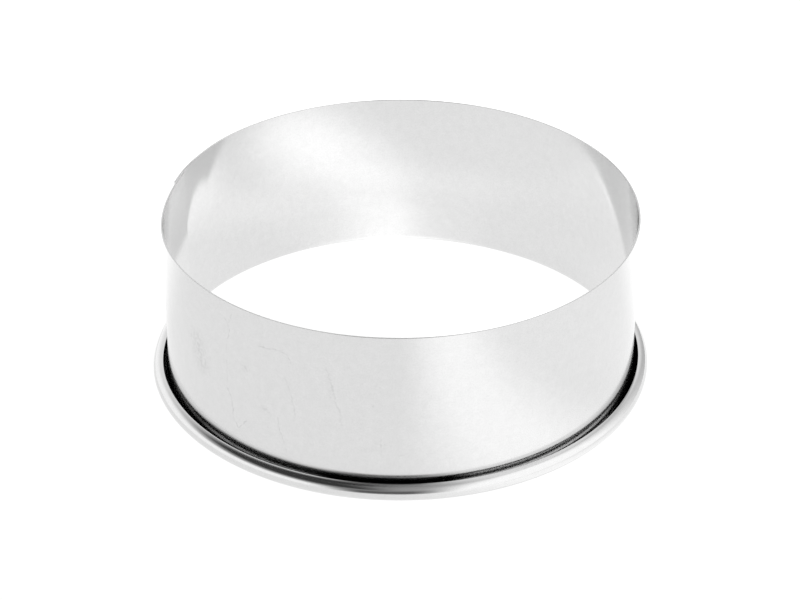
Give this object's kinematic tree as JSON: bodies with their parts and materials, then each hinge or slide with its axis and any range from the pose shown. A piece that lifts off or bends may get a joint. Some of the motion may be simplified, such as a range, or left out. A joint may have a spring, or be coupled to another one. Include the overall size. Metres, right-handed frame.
{
  "type": "round cookie cutter",
  "caption": "Open ring of thin steel with a sharp plain edge and a curled grip rim, pressed through rolled dough to cut round biscuits.",
  "frame": {"origin": "centre of the ring, in the plane that the curled rim stands on", "axes": "+Z along the ring's axis, from the curled rim to the cutting edge; -Y towards the pictured front"},
  "size_m": [0.1078, 0.1078, 0.0375],
  "materials": {
    "bright_steel": "bright rolled sheet with a fine grain round the ring and light scratches"
  },
  "bodies": {
    "root": {"cutter_ring": "bright_steel"}
  },
  "joints": []
}
